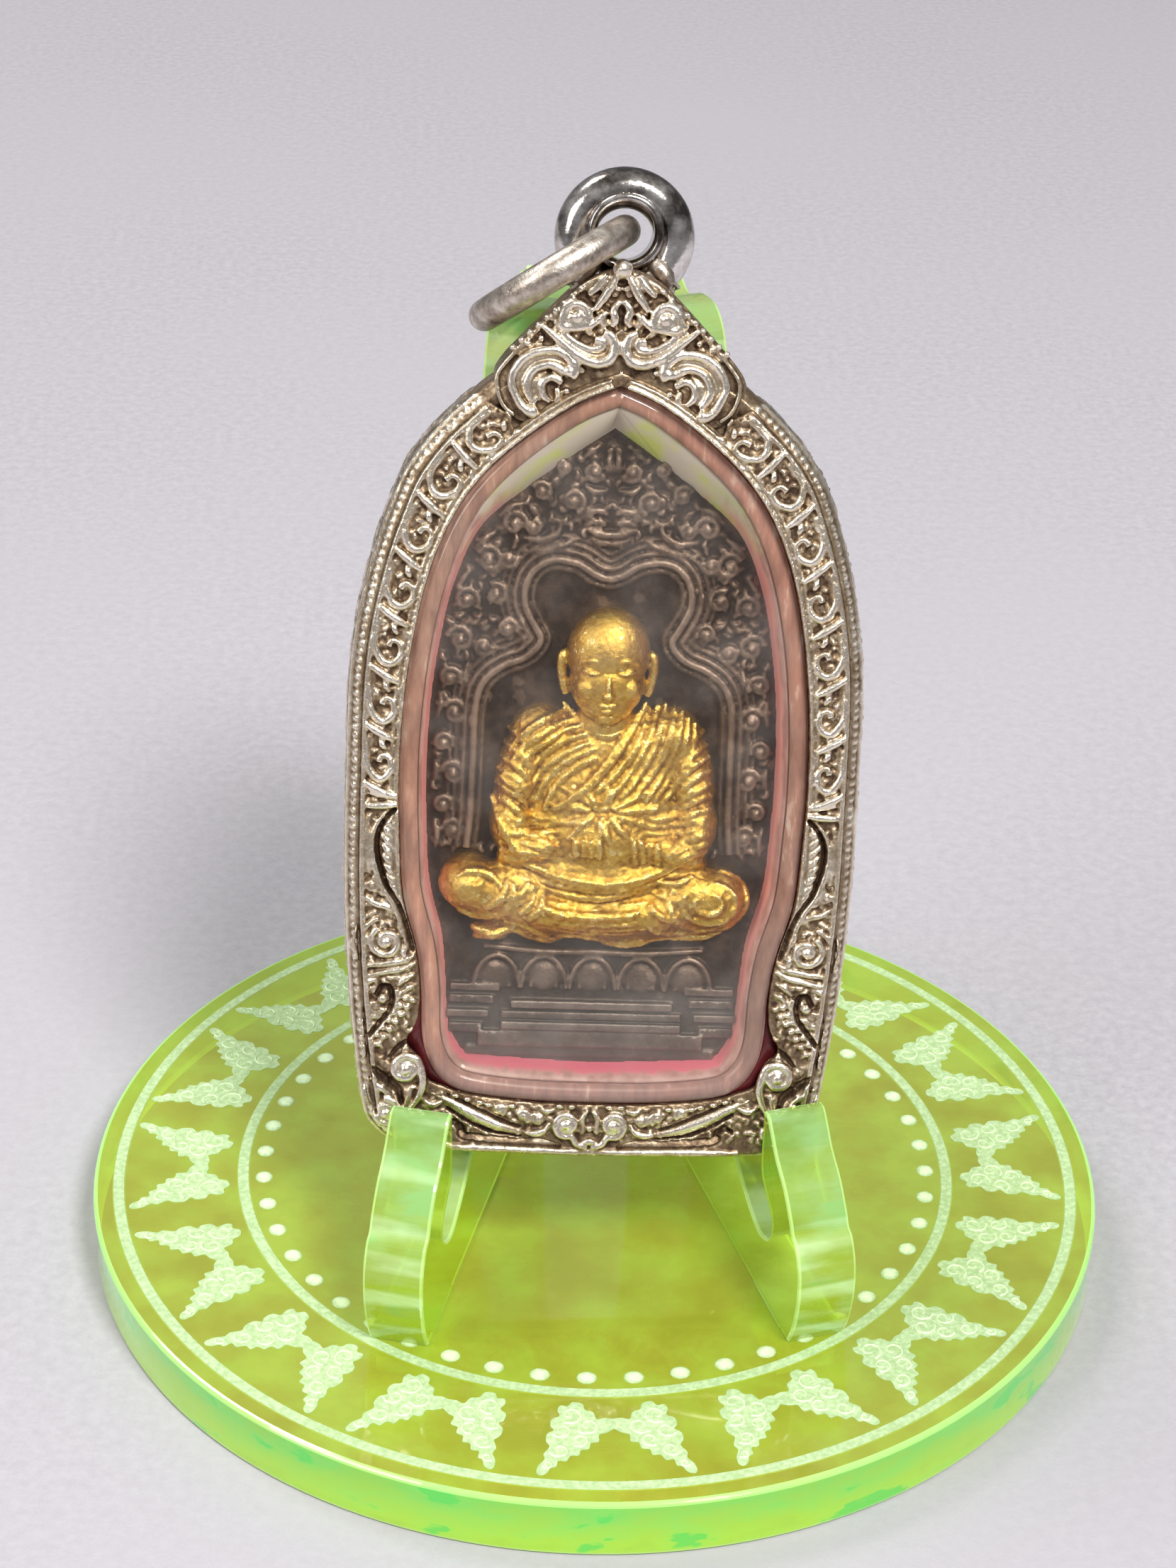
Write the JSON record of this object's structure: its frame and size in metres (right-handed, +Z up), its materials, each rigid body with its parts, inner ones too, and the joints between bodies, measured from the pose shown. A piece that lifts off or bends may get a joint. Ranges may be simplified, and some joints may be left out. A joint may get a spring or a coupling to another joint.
{
  "type": "framed amulet pendant on display stand",
  "caption": "Cast case pendant with a pointed clear window over a seated robed figure in relief, hung from a loose ring and leaning in a clear coloured two-leg stand.",
  "frame": {"origin": "middle of the stand's round base, on its underside", "axes": "+Z up, the pendant's window faces -Y and leans back towards +Y"},
  "size_m": [0.07, 0.07, 0.0741],
  "materials": {
    "stand_clear": "fluorescent clear acrylic, polished edges",
    "case_metal": "cast silver, darkened in the hollows, polished on the raised parts",
    "ring_metal": "satin silver wire",
    "window_clear": "clear acrylic with a pinkish rim",
    "plate_bronze": "dark patinated bronze",
    "figure_gold": "gold plate, satin"
  },
  "bodies": {
    "display": {"stand_base": "stand_clear", "cradle_left": "stand_clear", "cradle_right": "stand_clear", "case": "case_metal", "window_front": "window_clear", "window_back": "window_clear", "amulet_plate": "plate_bronze", "gold_figure": "figure_gold"},
    "ring": {"jump_ring": "ring_metal"}
  },
  "joints": [
    {"name": "ring_swing", "type": "hinge", "parent": "display", "child": "ring", "pos_m": [0.00088, 0.00768, 0.07025], "axis": [0, 0.9537, -0.3007], "range_deg": [0, 244]}
  ]
}
